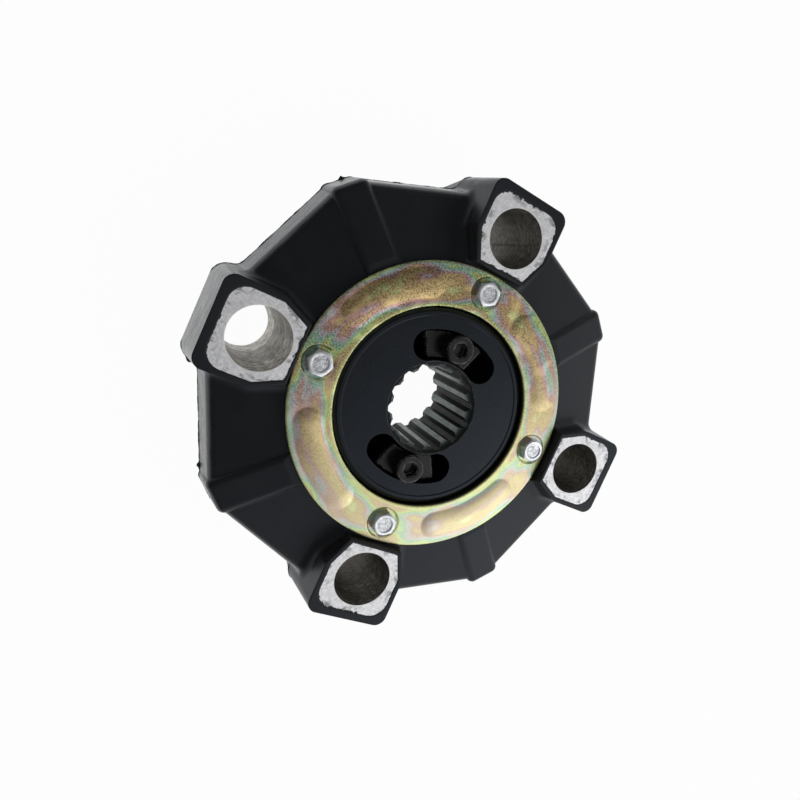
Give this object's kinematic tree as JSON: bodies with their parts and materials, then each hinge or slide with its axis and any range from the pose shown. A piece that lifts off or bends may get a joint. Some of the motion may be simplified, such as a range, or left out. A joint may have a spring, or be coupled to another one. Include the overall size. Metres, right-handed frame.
{
  "type": "flexible shaft coupling",
  "caption": "Rubber octagon coupling with aluminium bosses at its rim and a splined, clamped steel hub behind a bolted retaining ring.",
  "frame": {"origin": "on the shaft's axis, in the plane of the rear ends of the four bosses", "axes": "+Z along the shaft's axis towards the side with the retaining ring; bosses on the X and Y axes"},
  "size_m": [0.2036, 0.2036, 0.066],
  "materials": {
    "rubber": "satin moulded black rubber",
    "aluminium": "sawn and brushed ends, drawn bore",
    "yellow_zinc": "yellow passivated zinc, iridescent",
    "clear_zinc": "bright zinc",
    "black_steel": "black oxide, satin, machined spline",
    "black_screw": "black oiled"
  },
  "bodies": {
    "root": {"boss_insert_1": "aluminium", "boss_insert_2": "aluminium", "boss_insert_3": "aluminium", "boss_insert_4": "aluminium", "clamp_screw_1": "black_screw", "clamp_screw_2": "black_screw", "clamp_wedge_1": "black_steel", "clamp_wedge_2": "black_steel", "hub": "black_steel", "retaining_ring": "yellow_zinc", "ring_bolt_1": "clear_zinc", "ring_bolt_2": "clear_zinc", "ring_bolt_3": "clear_zinc", "ring_bolt_4": "clear_zinc", "rubber_body": "rubber"}
  },
  "joints": []
}
